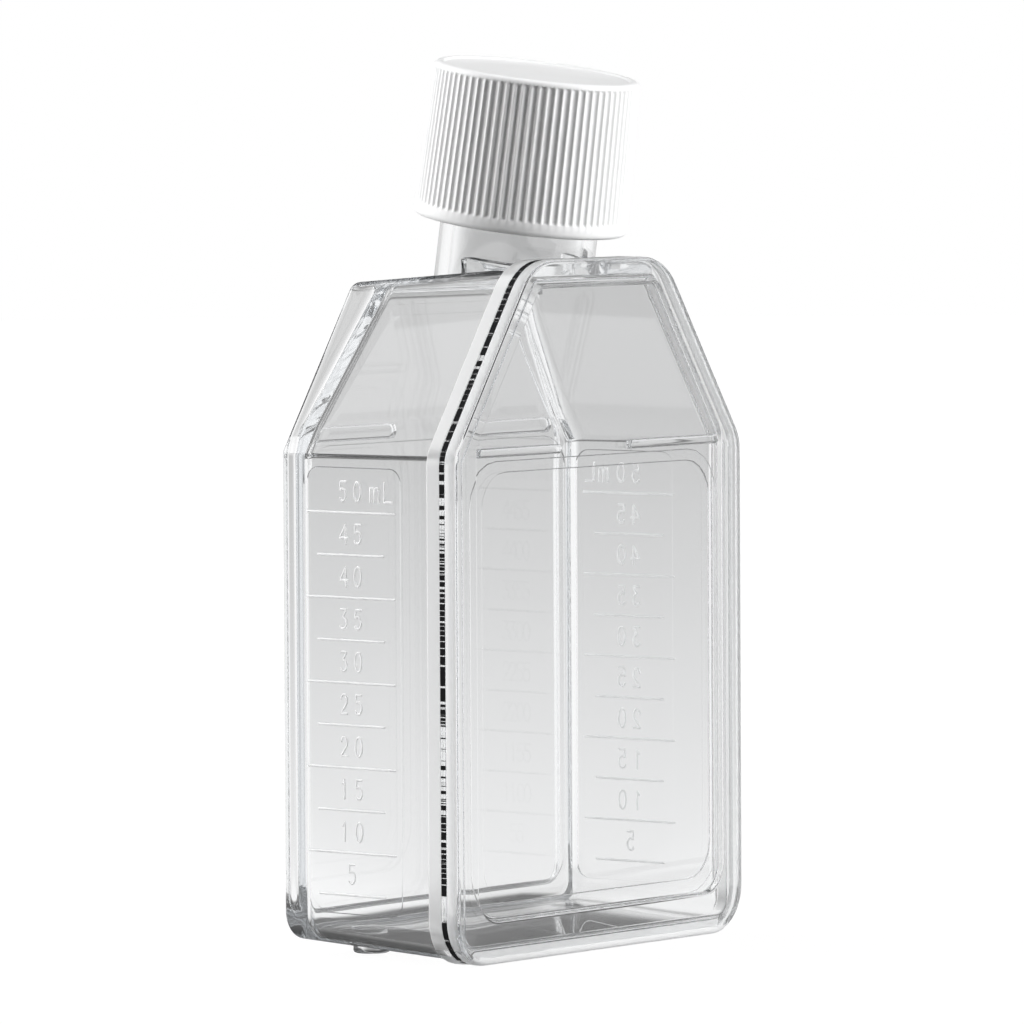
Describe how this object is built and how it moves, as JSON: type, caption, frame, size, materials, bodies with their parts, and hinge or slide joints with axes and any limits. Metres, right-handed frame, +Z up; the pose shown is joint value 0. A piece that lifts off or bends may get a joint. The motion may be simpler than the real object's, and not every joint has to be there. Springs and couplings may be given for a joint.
{
  "type": "cell culture flask",
  "caption": "Clear flat-sided flask for growing cells, with slanted shoulders, graduated narrow sides, a canted neck and a ribbed screw cap.",
  "frame": {"origin": "centre of the bounding box, on the surface the flask stands on", "axes": "+Z up through the neck end, -Y out of the welded front cover, +Y out of the growth wall, +X to the right seen from the cover"},
  "size_m": [0.052, 0.0286, 0.1003],
  "materials": {
    "clear_plastic": "clear, polished, moulded",
    "cap_plastic": "white, satin, ribbed",
    "seal_plastic": "natural, soft"
  },
  "bodies": {
    "flask": {"flask_body": "clear_plastic", "front_panel": "clear_plastic"},
    "seal": {"plug_seal": "seal_plastic"},
    "cap": {"screw_cap": "cap_plastic"}
  },
  "joints": [
    {"name": "cap_lift", "type": "slide", "parent": "flask", "child": "seal", "axis": [0, -0.1547, 0.988], "range_m": [0, 0.016]},
    {"name": "cap_turn", "type": "hinge", "parent": "seal", "child": "cap", "pos_m": [0, -0.00026, 0.0814], "axis": [0, -0.1547, 0.988], "range_deg": [0, 1800]}
  ],
  "couplings": [
    {"joint": "cap_lift", "follows": "cap_turn", "m_per_rad": 0.00050929}
  ]
}
